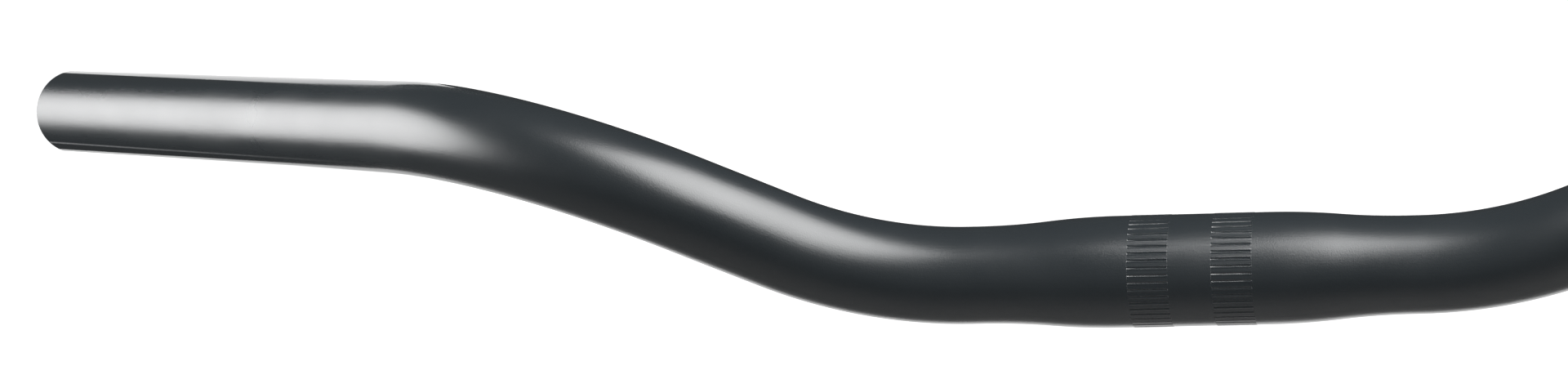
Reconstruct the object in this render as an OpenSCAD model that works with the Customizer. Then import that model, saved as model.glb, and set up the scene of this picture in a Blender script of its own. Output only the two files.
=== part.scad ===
// Trekking handlebar: one drawn aluminium tube, swaged down from a thick
// knurled clamp section, bent up and forward, then swept back to the grips.
// The clamp centre is the origin, X runs across the bike, the rider is at +Y
// and Z is up. The grips are level.

/* [Tube] */
// Outer diameter of the tube where levers and grips go
tube_d = 22.2; // [20:0.1:23.8]
// Wall thickness of the tube
tube_wall = 2.2; // [1.4:0.1:3]

/* [Clamp section] */
// Outer diameter where the stem holds the bar
clamp_d = 25.4; // [24.4:0.1:31.8]
// Wall thickness in the clamp section
clamp_wall = 2.6; // [1.8:0.1:4]
// Plain length left outside each knurled band at full diameter
clamp_margin = 3; // [1:0.5:15]
// Length of the curved taper from the clamp diameter to the tube diameter
taper_len = 32; // [15:1:60]
// Plain tube between the taper and the first bend
taper_run_out = 2; // [0.5:0.5:40]

/* [Knurling] */
// Length of each knurled band along the bar
knurl_band = 9.1; // [4:0.1:20]
// Plain gap between the two bands
knurl_gap = 9.7; // [2:0.1:30]
// Number of grooves round the bar in each band
knurl_count = 48; // [24:1:60]
// Width of a groove at the surface
knurl_groove = 0.38; // [0.2:0.02:0.6]
// Depth of a groove
knurl_depth = 0.2; // [0.1:0.02:0.5]
// Angle of the first groove below the horizontal at the back
knurl_phase = 2.3; // [0:0.1:15]

/* [Bends] */
// Centreline radius of the bend beside the clamp section
inner_bend_r = 85; // [50:1:150]
// Angle between the clamp section and the leg that rises from it
leg_angle = 30.5; // [10:0.5:60]
// Direction in which the leg leaves: 0 is straight forward, 90 straight up
leg_tilt = 56; // [0:1:90]
// Straight length of the leg between its two bends
leg_len = 22; // [5:1:80]
// Centreline radius of the bend at the corner of the bar
outer_bend_r = 72; // [45:1:120]

/* [Grips] */
// Angle by which the level grips point back from straight across
backsweep = 40; // [10:1:70]
// Straight length of each grip section
grip_len = 172; // [110:1:240]
// Chamfer on the outer and inner edge of each cut end
end_chamfer = 0.4; // [0.1:0.1:0.8]

/* [Hidden] */
$fn = 96;

tube_r = tube_d / 2;
bore_r = tube_r - tube_wall;
clamp_r = clamp_d / 2;
clamp_bore_r = clamp_r - clamp_wall;
// Distances from the clamp centre outwards
band_start = knurl_gap / 2;
band_end = band_start + knurl_band;
taper_start = band_end + clamp_margin;
taper_end = taper_start + taper_len;
centre_half = taper_end + taper_run_out;
taper_steps = 16;
// Each straight length runs this far into the bends it meets, and the wall of a
// bend stands this much proud inside and out, less than any tube tolerance, so
// that the lengths lap cleanly into one wall
joint_lap = 0.4;
joint_step = 0.02;

function unit(v) = v / norm(v);
// The direction square to t that lies in the plane of t and n, towards n
function turn_dir(t, n) = unit(n - t * (t * n));
function angle_between(a, b) = acos(a * b);
// Vector x carried round a bend that turns t towards u by angle a
function carried(x, t, u, a) =
    let (k = cross(t, u)) x * cos(a) + cross(k, x) * sin(a) + k * (k * x) * (1 - cos(a));

// Left half of the centreline: three straight runs and the two bends
clamp_dir = [-1, 0, 0];
leg_dir = [-cos(leg_angle), -sin(leg_angle) * cos(leg_tilt), sin(leg_angle) * sin(leg_tilt)];
grip_dir = [-cos(backsweep), sin(backsweep), 0];
inner_turn = turn_dir(clamp_dir, leg_dir);
outer_turn = turn_dir(leg_dir, grip_dir);
outer_bend_angle = angle_between(leg_dir, grip_dir);
// One direction across the tube, carried along it without twist: the start of every round section
clamp_across = [0, 1, 0];
leg_across = carried(clamp_across, clamp_dir, inner_turn, leg_angle);
grip_across = carried(leg_across, leg_dir, outer_turn, outer_bend_angle);

// Where a bend of radius r and angle a ends when it starts at p along t and turns towards u
function bend_end(p, t, u, r, a) = p + u * r * (1 - cos(a)) + t * r * sin(a);
inner_bend_start = clamp_dir * centre_half;
leg_start = bend_end(inner_bend_start, clamp_dir, inner_turn, inner_bend_r, leg_angle);
outer_bend_start = leg_start + leg_dir * leg_len;
grip_start = bend_end(outer_bend_start, leg_dir, outer_turn, outer_bend_r, outer_bend_angle);

// Radius along a taper that runs from r1 to r2 as two equal arcs, w from 0 to 1
function taper_radius(r1, r2, w) =
    let (drop = r1 - r2, arc_r = (taper_len ^ 2 + drop ^ 2) / (4 * drop), x = min(w, 1 - w) * taper_len,
         sag = arc_r - sqrt(arc_r ^ 2 - x ^ 2))
    w < 0.5 ? r1 - sag : r2 + sag;

// Points of one taper from the clamp outwards, as [radius, distance]
function taper_points(r1, r2) =
    [for (i = [0 : taper_steps]) let (w = i / taper_steps) [taper_radius(r1, r2, w), taper_start + w * taper_len]];

// Moves a shape drawn along Z to point p, so that it runs along t with its X axis along x
module place(p, x, t) {
    y = cross(t, x);
    multmatrix([[x[0], y[0], t[0], p[0]], [x[1], y[1], t[1], p[1]], [x[2], y[2], t[2], p[2]]])
        children();
}

module ring(r_out, r_in) {
    difference() {
        circle(r_out);
        circle(r_in);
    }
}

// Plain round part of the clamp section between two distances from the centre
module clamp_ring(from, to) {
    translate([0, 0, from])
        linear_extrude(to - from)
            ring(clamp_r, clamp_bore_r);
}

// One band with its straight V-shaped grooves
module knurl_ring() {
    translate([0, 0, band_start])
        linear_extrude(knurl_band)
            difference() {
                ring(clamp_r, clamp_bore_r);
                for (i = [0 : knurl_count - 1])
                    rotate(knurl_phase + i * 360 / knurl_count)
                        translate([clamp_r, 0])
                            polygon([[-knurl_depth, 0], [knurl_depth, -knurl_groove], [knurl_depth, knurl_groove]]);
            }
}

// Taper and run-out as one turned profile
module taper_ring() {
    outer = taper_points(clamp_r, tube_r);
    inner = taper_points(clamp_bore_r, bore_r);
    rotate_extrude()
        polygon(concat(outer, [[tube_r, centre_half + joint_lap], [bore_r, centre_half + joint_lap]],
                       [for (i = [taper_steps : -1 : 0]) inner[i]]));
}

module clamp_half() {
    place([0, 0, 0], clamp_across, clamp_dir) {
        clamp_ring(0, band_start);
        knurl_ring();
        clamp_ring(band_end, taper_start);
        taper_ring();
    }
}

// Straight tube from p along t, lapped into the bend at each end
module run(p, t, x, len) {
    place(p - t * joint_lap, x, t)
        linear_extrude(len + 2 * joint_lap)
            ring(tube_r, bore_r);
}

// Bend from p along t towards u, with its round sections starting at x
module bend(p, t, u, r, a, x) {
    k = cross(t, u);
    multmatrix([for (i = [0 : 2]) [-u[i], t[i], k[i], p[i] + u[i] * r]])
        rotate_extrude(angle = a)
            translate([r, 0])
                rotate(atan2(x * k, -x * u))
                    ring(tube_r + joint_step, bore_r - joint_step);
}

// Straight grip with its cut end broken inside and out
module grip(p, t, x) {
    place(p, x, t)
        rotate_extrude()
            polygon([[bore_r, -joint_lap], [tube_r, -joint_lap], [tube_r, grip_len - end_chamfer],
                     [tube_r - end_chamfer, grip_len], [bore_r + end_chamfer, grip_len],
                     [bore_r, grip_len - end_chamfer]]);
}

module half() {
    clamp_half();
    bend(inner_bend_start, clamp_dir, inner_turn, inner_bend_r, leg_angle, clamp_across);
    run(leg_start, leg_dir, leg_across, leg_len);
    bend(outer_bend_start, leg_dir, outer_turn, outer_bend_r, outer_bend_angle, leg_across);
    grip(grip_start, grip_dir, grip_across);
}

module handlebar() {
    color([0.17, 0.18, 0.19]) {
        half();
        mirror([1, 0, 0])
            half();
    }
}

handlebar();
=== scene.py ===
"""Trekking handlebar: a satin black tube with a knurled clamp section, held level over a pale floor."""
import math

import bmesh
import bpy
from mathutils import Matrix, Vector


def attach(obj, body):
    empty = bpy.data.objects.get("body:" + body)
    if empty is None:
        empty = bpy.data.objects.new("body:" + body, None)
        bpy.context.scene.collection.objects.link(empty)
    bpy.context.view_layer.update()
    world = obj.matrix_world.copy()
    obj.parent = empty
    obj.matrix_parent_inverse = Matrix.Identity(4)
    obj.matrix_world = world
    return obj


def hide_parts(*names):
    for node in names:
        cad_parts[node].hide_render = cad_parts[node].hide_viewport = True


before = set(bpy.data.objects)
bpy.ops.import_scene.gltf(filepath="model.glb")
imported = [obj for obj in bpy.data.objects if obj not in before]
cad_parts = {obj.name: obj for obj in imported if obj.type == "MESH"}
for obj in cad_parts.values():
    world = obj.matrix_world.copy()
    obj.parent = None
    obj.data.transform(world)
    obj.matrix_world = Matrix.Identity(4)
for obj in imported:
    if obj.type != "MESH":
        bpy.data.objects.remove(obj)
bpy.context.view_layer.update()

MM = 0.001

# Sizes of the solid. Lengths are in millimetres
TUBE_R = 22.2 / 2
TUBE_WALL = 2.2
TUBE_BORE_R = TUBE_R - TUBE_WALL
CLAMP_R = 25.4 / 2
CLAMP_WALL = 2.6
CLAMP_BORE_R = CLAMP_R - CLAMP_WALL
BAND = 9.1
BAND_GAP = 9.7
BAND_START = BAND_GAP / 2
BAND_END = BAND_START + BAND
CLAMP_MARGIN = 3
TAPER_START = BAND_END + CLAMP_MARGIN
TAPER_LEN = 32
TAPER_RUN_OUT = 2
INNER_BEND_R = 85
LEG_ANGLE = math.radians(30.5)
LEG_TILT = math.radians(56)
LEG_LEN = 22
OUTER_BEND_R = 72
BACKSWEEP = math.radians(40)
GRIP_LEN = 172
END_CHAMFER = 0.4
GROOVES = 48
GROOVE_DEPTH = 0.2
KNURL_PHASE = math.radians(2.3)

# How finely the mesh follows them
COLUMNS = GROOVES * 4           # round the outside of the tube
BORE_COLUMNS = COLUMNS // 3     # round the inside
BEND_STEP = 2.2                 # along a bend, in millimetres
TAPER_STEPS = 24
LEG_STEPS = 4
GRIP_STEPS = 24
BAND_STEPS = 4
FLAT_INSET = 0.4                # from the start of the taper to the last row of the knurled section
SHARP_ANGLE = math.radians(32)  # an edge that turns more than this is shaded as a sharp one

# Half of one groove, from its middle outwards: distance in millimetres and height as a share of GROOVE_DEPTH.
# Its 8 points make 16 columns a groove, a whole multiple of the 4 that the plain tube has
GROOVE_PROFILE = [(0, -0.65), (0.04, -0.6), (0.13, -0.3), (0.22, 0.03),
                  (0.28, 0.15), (0.34, 0.14), (0.42, 0.04), (0.57, 0)]
# Along one band: distance inside its edge and share of that height
GROOVE_ENDS = [(-0.12, 0), (0, 0.05), (0.1, 0.75), (0.2, 1)]

# What each vertex carries for the material. DRAWN is where it would lie on the surface of a straight tube
# along Z, in millimetres from the bar's middle, and ROLLED rises to 1 on the walls and lips of a groove
DRAWN = "drawn"
ROLLED = "rolled"

# Centreline of the left half, from the clamp centre outwards. The right half is its mirror image
LEFT, RIGHT = 1, -1
CLAMP_DIR = Vector((-1, 0, 0))
LEG_DIR = Vector((-math.cos(LEG_ANGLE), -math.sin(LEG_ANGLE) * math.cos(LEG_TILT),
                  math.sin(LEG_ANGLE) * math.sin(LEG_TILT)))
GRIP_DIR = Vector((-math.cos(BACKSWEEP), math.sin(BACKSWEEP), 0))


class Walk:
    """Moves along the centreline and keeps one direction across the tube, without twist."""

    def __init__(self, reach):
        self.point, self.along, self.across = CLAMP_DIR * reach, CLAMP_DIR.copy(), Vector((0, 1, 0))
        self.reach = reach
        self.stations = []

    def station(self, **radii):
        self.stations.append(dict(point=self.point.copy(), along=self.along.copy(),
                                  across=self.across.copy(), reach=self.reach, **radii))

    def straight(self, length, **radii):
        self.point += self.along * length
        self.reach += length
        self.station(**radii)

    def bend(self, radius, towards, **radii):
        angle = self.along.angle(towards)
        axis = self.along.cross(towards).normalized()
        centre = self.point + (towards - self.along * self.along.dot(towards)).normalized() * radius
        steps = math.ceil(radius * angle / BEND_STEP)
        turn = Matrix.Rotation(angle / steps, 3, axis)
        for _ in range(steps):
            self.point = centre + turn @ (self.point - centre)
            self.along, self.across = turn @ self.along, turn @ self.across
            self.reach += radius * angle / steps
            self.station(**radii)


def taper_radius(r1, r2, w):
    """Radius along a taper of two equal arcs that are tangent to the plain lengths."""
    drop = r1 - r2
    arc_r = (TAPER_LEN ** 2 + drop ** 2) / (4 * drop)
    x = min(w, 1 - w) * TAPER_LEN
    sag = arc_r - math.sqrt(arc_r ** 2 - x ** 2)
    return r1 - sag if w < 0.5 else r2 + sag


def half_stations():
    """Stations of the left half outside the knurled section, each with its outer and bore radius."""
    walk = Walk(TAPER_START)
    walk.station(outer=CLAMP_R, bore=CLAMP_BORE_R)
    for i in range(1, TAPER_STEPS + 1):
        w = i / TAPER_STEPS
        walk.straight(TAPER_LEN / TAPER_STEPS, outer=taper_radius(CLAMP_R, TUBE_R, w),
                      bore=taper_radius(CLAMP_BORE_R, TUBE_BORE_R, w))
    plain = dict(outer=TUBE_R, bore=TUBE_BORE_R)
    walk.straight(TAPER_RUN_OUT, **plain)
    walk.bend(INNER_BEND_R, LEG_DIR, **plain)
    for _ in range(LEG_STEPS):
        walk.straight(LEG_LEN / LEG_STEPS, **plain)
    walk.bend(OUTER_BEND_R, GRIP_DIR, **plain)
    for _ in range(GRIP_STEPS):
        walk.straight((GRIP_LEN - END_CHAMFER) / GRIP_STEPS, **plain)
    walk.straight(END_CHAMFER, outer=TUBE_R - END_CHAMFER, bore=TUBE_BORE_R + END_CHAMFER)
    return walk.stations


def on_straight_tube(angle, along):
    """Place on the surface of a straight tube along Z, in millimetres."""
    return TUBE_R * math.cos(angle), TUBE_R * math.sin(angle), along


def vertex(bm, place, angle, along, rolled=0.0):
    """One vertex, at an angle round the tube and a distance along it that is negative on the left."""
    made = bm.verts.new(place)
    made[bm.verts.layers.float_vector[DRAWN]] = on_straight_tube(angle, along)
    made[bm.verts.layers.float[ROLLED]] = rolled
    return made


def ring(bm, station, radius, angles, side):
    """Vertices of one round section."""
    middle, across = station["point"], station["across"]
    second = station["along"].cross(across)
    made = []
    for angle in angles:
        p = middle + radius * (across * math.cos(angle) + second * math.sin(angle))
        made.append(vertex(bm, (p.x * MM * side, p.y * MM, p.z * MM), angle, -side * station["reach"]))
    return made


def bridge(bm, a, b, flip):
    """Faces between two closed loops, where the finer one has a whole multiple of the other's vertices."""
    if len(a) > len(b):
        a, b, flip = b, a, not flip
    k = len(b) // len(a)
    for j in range(len(a)):
        edge = [b[(j * k + i) % len(b)] for i in range(k + 1)]
        corners = [a[(j + 1) % len(a)], a[j]] + edge
        bm.faces.new(corners[::-1] if flip else corners)


def bridge_all(bm, loops, flip):
    """Faces between each closed loop and the next."""
    for a, b in zip(loops, loops[1:]):
        bridge(bm, a, b, flip)


def even_angles(n):
    """Angles all round the tube, from the first groove onwards."""
    return [KNURL_PHASE + 2 * math.pi * i / n for i in range(n)]


def plain_halves(bm):
    """Both halves outside the knurled section and the whole bore. Gives each half's innermost outer loop."""
    stations = half_stations()
    angles, bore_angles = even_angles(COLUMNS), even_angles(BORE_COLUMNS)
    outer_ends, bore_ends = {}, {}
    for side in (LEFT, RIGHT):
        outer = [ring(bm, s, s["outer"], angles, side) for s in stations]
        bore = [ring(bm, s, s["bore"], bore_angles, side) for s in stations]
        bridge_all(bm, outer, side == RIGHT)
        bridge_all(bm, bore, side == LEFT)
        bridge(bm, outer[-1], bore[-1], side == RIGHT)
        outer_ends[side], bore_ends[side] = outer[0], bore[0]
    bridge(bm, bore_ends[LEFT], bore_ends[RIGHT], False)
    return outer_ends[LEFT], outer_ends[RIGHT]


def groove_columns():
    """Angle and height of each column of the knurled section, evenly spaced grooves with raised lips."""
    pitch = 2 * math.pi / GROOVES
    half = [(distance / CLAMP_R, height) for distance, height in GROOVE_PROFILE]
    one = half + [(pitch / 2, 0)] + [(pitch - a, height) for a, height in half[:0:-1]]
    return [(KNURL_PHASE + g * pitch + a, height * GROOVE_DEPTH) for g in range(GROOVES) for a, height in one]


def band_rows():
    """Places along the knurled section, from left to right, with the share of the grooves' height at each."""
    rows = [(0, 0), (TAPER_START - FLAT_INSET, 0)]
    for inside, share in GROOVE_ENDS:
        rows += [(BAND_START + inside, share), (BAND_END - inside, share)]
    rows += [(BAND_START + BAND * i / BAND_STEPS, 1) for i in range(1, BAND_STEPS)]
    rows.sort()
    return [(-x, share) for x, share in rows[:0:-1]] + rows


def knurled_loops(bm):
    """Closed loops of vertices along the knurled section, from left to right."""
    columns = groove_columns()
    loops = []
    for x, share in band_rows():
        loop = []
        for angle, height in columns:
            r = CLAMP_R + height * share
            place = (x * MM, r * math.cos(angle) * MM, -r * math.sin(angle) * MM)
            loop.append(vertex(bm, place, angle, x, rolled=share if height else 0.0))
        loops.append(loop)
    return loops


def bar_mesh():
    bm = bmesh.new()
    bm.verts.layers.float_vector.new(DRAWN)
    bm.verts.layers.float.new(ROLLED)
    left_end, right_end = plain_halves(bm)
    bridge_all(bm, [left_end] + knurled_loops(bm) + [right_end], True)
    bmesh.ops.recalc_face_normals(bm, faces=bm.faces)
    mesh = bpy.data.meshes.new("handlebar_tube")
    bm.to_mesh(mesh)
    bm.free()
    for polygon in mesh.polygons:
        polygon.use_smooth = True
    mesh.set_sharp_from_angle(angle=SHARP_ANGLE)
    return mesh


# Sockets of a Mix node that mixes colours
MIX_A, MIX_B, MIX_RESULT = 6, 7, 2


def feed(tree, socket, value):
    """Links another node's output into a socket, or sets the socket to a plain value."""
    if isinstance(value, bpy.types.NodeSocket):
        tree.links.new(value, socket)
    else:
        socket.default_value = value


def node(tree, kind, **values):
    """Adds a shader node and sets its properties, or feeds its inputs where the name is an input's."""
    made = tree.nodes.new(kind)
    for name, value in values.items():
        key = name.replace("_", " ")
        if key in made.inputs:
            feed(tree, made.inputs[key], value)
        else:
            setattr(made, name, value)
    return made


def remap(tree, value, source, target, **more):
    """Takes the range source to the range target. Beyond it, the value stays at the nearer end."""
    made = node(tree, "ShaderNodeMapRange", Value=value, From_Min=source[0], From_Max=source[1],
                To_Min=target[0], To_Max=target[1], **more)
    return made.outputs["Result"]


def combine(tree, kind, *values, **settings):
    """Adds a shader node and feeds its inputs in their own order."""
    made = node(tree, kind, **settings)
    for socket, value in zip(made.inputs, values):
        feed(tree, socket, value)
    return made


def maths(tree, operation, *values):
    """Output of a Math node."""
    return combine(tree, "ShaderNodeMath", *values, operation=operation).outputs["Value"]


def vector_maths(tree, operation, *values):
    """Outputs of a Vector Math node."""
    return combine(tree, "ShaderNodeVectorMath", *values, operation=operation).outputs


def mix_colours(tree, share, a, b):
    """Colour a where share is 0 and colour b where it is 1."""
    made = node(tree, "ShaderNodeMix", data_type="RGBA", Factor=share)
    feed(tree, made.inputs[MIX_A], a)
    feed(tree, made.inputs[MIX_B], b)
    return made.outputs[MIX_RESULT]


def noise(tree, place, scale, detail, roughness=0.5):
    """Output of a noise texture, mostly between 0.3 and 0.7."""
    made = node(tree, "ShaderNodeTexNoise", Vector=place, Scale=scale, Detail=detail, Roughness=roughness)
    return made.outputs["Fac"]


# Colour of the anodised surface, from the hollows of its grain to the tops
HOLLOW = (0.016, 0.022, 0.026, 1)
TOP = (0.026, 0.032, 0.036, 1)
GRAIN_PER_M = 3400

# A painted highlight: the bright line low on the left grip, the left lamp's glint on a fine line along the
# tube, painted into the colour and fading out along the grip as the glint does. Its angle round the tube,
# half its width, the distances along the tube between which it fades out, and how the grain breaks it up
PAINTED_HIGHLIGHT_COLOUR = (0.5, 0.51, 0.52, 1)
PAINTED_HIGHLIGHT_ANGLE = math.radians(127)
PAINTED_HIGHLIGHT_HALF_WIDTH = 0.45
PAINTED_HIGHLIGHT_FADE = (-380, -200)
PAINTED_HIGHLIGHT_GRAIN = (0.35, 0.6)
PAINTED_HIGHLIGHT_SPECKLE = (0.3, 1)


def bar_colour(tree, grain, drawn, along):
    """Black that follows the grain, with a painted highlight: a bright line along the left grip that fades
    out towards the bend.
    """
    flat = vector_maths(tree, "MULTIPLY", drawn, (1, 1, 0))["Vector"]
    away = vector_maths(tree, "DISTANCE", flat, on_straight_tube(PAINTED_HIGHLIGHT_ANGLE, 0))["Value"]
    # Painted highlight: a bright line mixed into the base colour, full at the grip's end and gone towards the
    # bend
    painted_highlight = remap(tree, away, (0, PAINTED_HIGHLIGHT_HALF_WIDTH), (1, 0))
    for share in (remap(tree, along, PAINTED_HIGHLIGHT_FADE, (1, 0)), remap(tree, grain, PAINTED_HIGHLIGHT_GRAIN, PAINTED_HIGHLIGHT_SPECKLE)):
        painted_highlight = maths(tree, "MULTIPLY", painted_highlight, share)
    return mix_colours(tree, painted_highlight, mix_colours(tree, grain, HOLLOW, TOP), PAINTED_HIGHLIGHT_COLOUR)


# Shine of the surface. Facing is 0 where it is seen square on and 1 where it is seen edge on
SURFACE_IOR = 1.77
CLOUDS_PER_M = 55
CLOUD_RANGE = (0.3, 0.7)
SATIN_ROUGHNESS = (0.27, 0.33)
GRAZING_FACING = (0.62, 0.8)
GRAZING_ROUGHNESS = 0.06
# The rolling tool has burnished the walls of the grooves. Each pair goes from the plain surface to the walls:
# how much of the roughness is left, and the specular level
ROLLED_ROUGHNESS = (1, 0.6)
ROLLED_SPECULAR = (0.7, 1)


def bar_roughness(tree, place, rolled, facing):
    """Satin in faint clouds, which mirrors more sharply at a grazing angle and where it was rolled."""
    cloud = noise(tree, place, CLOUDS_PER_M, detail=3)
    satin = remap(tree, cloud, CLOUD_RANGE, SATIN_ROUGHNESS)
    slanted = remap(tree, facing, GRAZING_FACING, (satin, GRAZING_ROUGHNESS), interpolation_type="SMOOTHSTEP")
    return maths(tree, "MULTIPLY", slanted, remap(tree, rolled, (0, 1), ROLLED_ROUGHNESS))


# Fine lines along the tube from drawing it: how many to a millimetre round the tube, how they are stretched
# along it and turned, so that the noise's cells don't line up with the tube, and their height over the
# grain's, on the plain tube and in the knurled bands
LINES_PER_MM = 2.6
LINE_SQUASH = (1, 1, 0.03)
LINE_TURN = (0.5, 0.7, 0.3)
LINE_HEIGHT = (0.35, 1.6)
# Height of all this relief in metres, and how its strength falls towards a grazing angle
RELIEF_HEIGHT = 0.00006
RELIEF_FACING = (0.66, 0.8)
RELIEF_STRENGTH = (0.45, 0.04)


def bar_relief(tree, grain, drawn, along, facing):
    """Grain and drawn lines, which are rougher in the two knurled bands."""
    squashed = node(tree, "ShaderNodeMapping", Vector=drawn, Scale=LINE_SQUASH, Rotation=LINE_TURN)
    lines = noise(tree, squashed.outputs["Vector"], LINES_PER_MM, detail=3)
    from_middle = maths(tree, "ABSOLUTE", along)
    in_band = maths(tree, "COMPARE", from_middle, (BAND_START + BAND_END) / 2, BAND / 2)
    height = maths(tree, "MULTIPLY_ADD", lines, remap(tree, in_band, (0, 1), LINE_HEIGHT), grain)
    strength = remap(tree, facing, RELIEF_FACING, RELIEF_STRENGTH)
    bump = node(tree, "ShaderNodeBump", Distance=RELIEF_HEIGHT, Strength=strength, Height=height)
    return bump.outputs["Normal"]


def bar_material():
    """Fine blasted and black anodised aluminium: satin, with a faint grain, slightly uneven gloss and a
    painted highlight line on the left grip.
    """
    material = bpy.data.materials.new("satin_black_anodised")
    material.use_nodes = True
    tree = material.node_tree
    place = node(tree, "ShaderNodeTexCoord").outputs["Object"]
    grain = noise(tree, place, GRAIN_PER_M, detail=2, roughness=0.7)
    drawn = node(tree, "ShaderNodeAttribute", attribute_name=DRAWN).outputs["Vector"]
    rolled = node(tree, "ShaderNodeAttribute", attribute_name=ROLLED).outputs["Fac"]
    facing = node(tree, "ShaderNodeLayerWeight", Blend=0.5).outputs["Facing"]
    along = node(tree, "ShaderNodeSeparateXYZ", Vector=drawn).outputs["Z"]
    inputs = {
        "Base Color": bar_colour(tree, grain, drawn, along),
        "Roughness": bar_roughness(tree, place, rolled, facing),
        "Specular IOR Level": remap(tree, rolled, (0, 1), ROLLED_SPECULAR),
        "IOR": SURFACE_IOR,
        "Normal": bar_relief(tree, grain, drawn, along, facing),
    }
    for name, value in inputs.items():
        feed(tree, tree.nodes["Principled BSDF"].inputs[name], value)
    return material


def build_bar():
    bar = bpy.data.objects.new("handlebar_tube", bar_mesh())
    bpy.context.collection.objects.link(bar)
    bar.data.materials.append(bar_material())
    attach(bar, "root")
    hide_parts("handlebar")


# The photograph's camera: a 75 mm lens, framed off centre, so that the clamp section is in line with it
FRAME_WIDTH = 1920      # pixels
CLAMP_PIXEL_X = 1457
FOCAL_PIXELS = 4000
SENSOR = 36             # millimetres
CAMERA_PLACE = Vector((81.44, -727.74, 84.99))      # millimetres
CAMERA_YAW = math.radians(6.423)
CAMERA_PITCH = math.radians(-5.173)
CAMERA_ROLL = math.radians(-2.129)
CLIP_NEAR, CLIP_FAR = 0.05, 50      # metres


def add_camera():
    camera = bpy.data.objects.new("camera", bpy.data.cameras.new("camera"))
    bpy.context.collection.objects.link(camera)
    camera.data.sensor_width = SENSOR
    camera.data.lens = FOCAL_PIXELS * SENSOR / FRAME_WIDTH
    camera.data.shift_x = 0.5 - CLAMP_PIXEL_X / FRAME_WIDTH
    camera.data.clip_start, camera.data.clip_end = CLIP_NEAR, CLIP_FAR
    turn = Matrix.Rotation(CAMERA_YAW, 4, "Z")
    turn @= Matrix.Rotation(math.pi / 2 + CAMERA_PITCH, 4, "X")
    turn @= Matrix.Rotation(CAMERA_ROLL, 4, "Z")
    camera.matrix_world = Matrix.Translation(CAMERA_PLACE * MM) @ turn
    bpy.context.scene.camera = camera


def direction(azimuth, elevation):
    """Unit vector: azimuth 0 is the camera's side, positive to the right, in degrees."""
    a, e = math.radians(azimuth), math.radians(elevation)
    return Vector((math.sin(a) * math.cos(e), -math.cos(a) * math.cos(e), math.sin(e)))


def softbox(name, towards, distance, size, radiance, about=(0, 0, 0), spread=180, shape="RECTANGLE"):
    """An area light that lies in direction towards from the place about and faces it. radiance is that of its
    middle, seen from there, and a spread under 180 degrees makes it fade towards its edges, as a softbox with
    a grid does."""
    lamp = bpy.data.lights.new(name, "AREA")
    lamp.shape, lamp.size, lamp.size_y = shape, size[0], size[1]
    lamp.spread = math.radians(spread)
    half = math.radians(spread / 2)
    focus = 1 if spread == 180 else math.tan(half) / (math.tan(half) - half)
    area = size[0] * size[1] * (math.pi / 4 if shape == "ELLIPSE" else 1)
    lamp.energy = radiance * math.pi * area / focus
    light = bpy.data.objects.new(name, lamp)
    bpy.context.collection.objects.link(light)
    light.location = Vector(about) + towards * distance
    light.rotation_euler = towards.to_track_quat("Z", "Y").to_euler()


def light_scene():
    """Three soft lamps. Sizes and places are in metres."""
    grip = (-0.25, 0.06, 0.04)
    below_grip = (-0.25, 0.06, -0.03)
    softbox("left_softbox", direction(-81, 11.4), distance=0.911, size=(1.24, 1.02), radiance=6.2,
            about=below_grip, spread=120, shape="ELLIPSE")
    softbox("upper_softbox", direction(53, 44), distance=1.0, size=(1.35, 1.2), radiance=5.8, spread=120)
    softbox("rim_softbox", direction(-156.5, 0), distance=1.0, size=(0.28, 0.9), radiance=1.2, about=grip)


# The stage, in metres. The backdrop's lower left corner reaches further out than the upper one, because the
# rim under the left grip mirrors it
FLOOR_Z = -1.6
FLOOR_HALF_WIDTH = 4.0
FLOOR_FRONT_Y = -4.0
BACKDROP_Y = 1.6
BACKDROP_TOP_Z = 0.14
BACKDROP_HALF_WIDTH = 1.12
BACKDROP_LOW_LEFT_X = -1.6
FLOOR_GREY = 0.6
BACKDROP_GREY = 0.8
BACKDROP_GLOW = 0.9
ROOM_GLOW = 0.055
WHITE = (1, 1, 1, 1)


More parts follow.
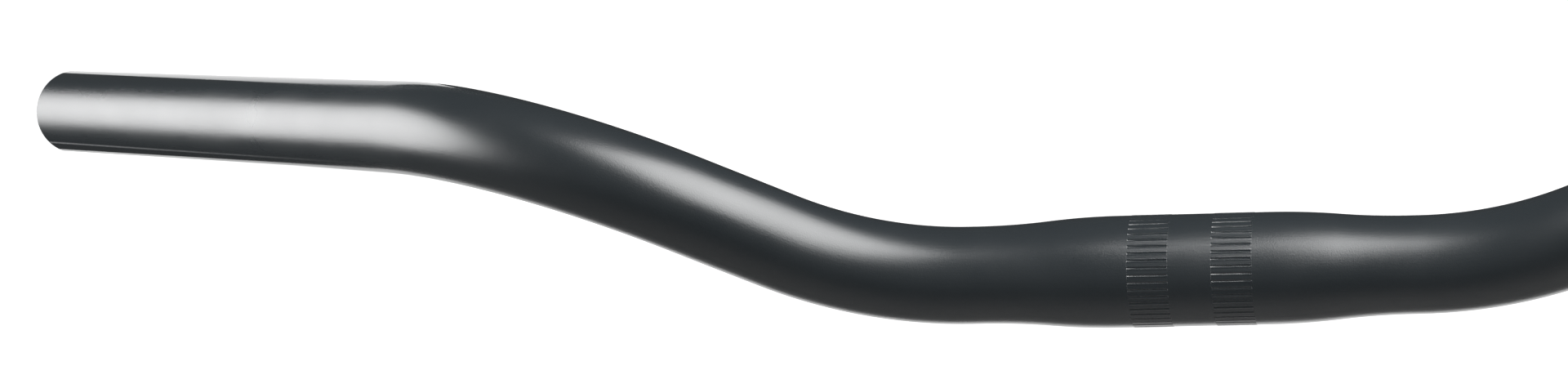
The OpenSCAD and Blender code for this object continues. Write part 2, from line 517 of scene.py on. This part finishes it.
def add_glow(tree, plain, glow):
    """The plain shader, with a glow that only camera, glossy and transmission rays see."""
    path = node(tree, "ShaderNodeLightPath").outputs
    seen = maths(tree, "MAXIMUM", path["Is Camera Ray"], path["Is Glossy Ray"])
    seen = maths(tree, "MAXIMUM", seen, path["Is Transmission Ray"])
    light = node(tree, "ShaderNodeEmission", Color=WHITE, Strength=glow).outputs["Emission"]
    glowing = combine(tree, "ShaderNodeAddShader", plain, light).outputs["Shader"]
    return combine(tree, "ShaderNodeMixShader", seen, plain, glowing).outputs["Shader"]


def stage_material(name, grey, glow=0):
    """A pale surface that takes light and shadow, with a glow if one is given."""
    material = bpy.data.materials.new(name)
    material.use_nodes = True
    tree = material.node_tree
    tree.nodes.clear()
    surface = node(tree, "ShaderNodeBsdfDiffuse", Color=(grey, grey, grey, 1)).outputs["BSDF"]
    if glow:
        surface = add_glow(tree, surface, glow)
    node(tree, "ShaderNodeOutputMaterial", Surface=surface)
    return material


def sheet(name, edges, material):
    """A flat sheet across the scene. Each edge is its y and z, and x on the left and on the right."""
    bm = bmesh.new()
    (a, b), (c, d) = [[bm.verts.new((x, y, z)) for x in (left, right)] for y, z, left, right in edges]
    bm.faces.new((a, b, d, c))
    mesh = bpy.data.meshes.new(name)
    bm.to_mesh(mesh)
    bm.free()
    made = bpy.data.objects.new(name, mesh)
    bpy.context.collection.objects.link(made)
    made.data.materials.append(material)


def add_stage():
    """A pale floor well below the bar, and a low white backdrop behind it."""
    floor = [(y, FLOOR_Z, -FLOOR_HALF_WIDTH, FLOOR_HALF_WIDTH) for y in (FLOOR_FRONT_Y, BACKDROP_Y)]
    sheet("floor", floor, stage_material("pale_floor", FLOOR_GREY))
    backdrop = [(BACKDROP_Y, FLOOR_Z, BACKDROP_LOW_LEFT_X, BACKDROP_HALF_WIDTH),
                (BACKDROP_Y, BACKDROP_TOP_Z, -BACKDROP_HALF_WIDTH, BACKDROP_HALF_WIDTH)]
    sheet("backdrop", backdrop, stage_material("white_backdrop", BACKDROP_GREY, BACKDROP_GLOW))


def set_world():
    """A dim, even room, the same for every ray."""
    world = bpy.data.worlds.new("studio")
    bpy.context.scene.world = world
    world.use_nodes = True
    fill = world.node_tree.nodes["Background"]
    fill.inputs["Color"].default_value = WHITE
    fill.inputs["Strength"].default_value = ROOM_GLOW


build_bar()
add_camera()
light_scene()
add_stage()
set_world()
bpy.context.scene.view_settings.view_transform = "Standard"
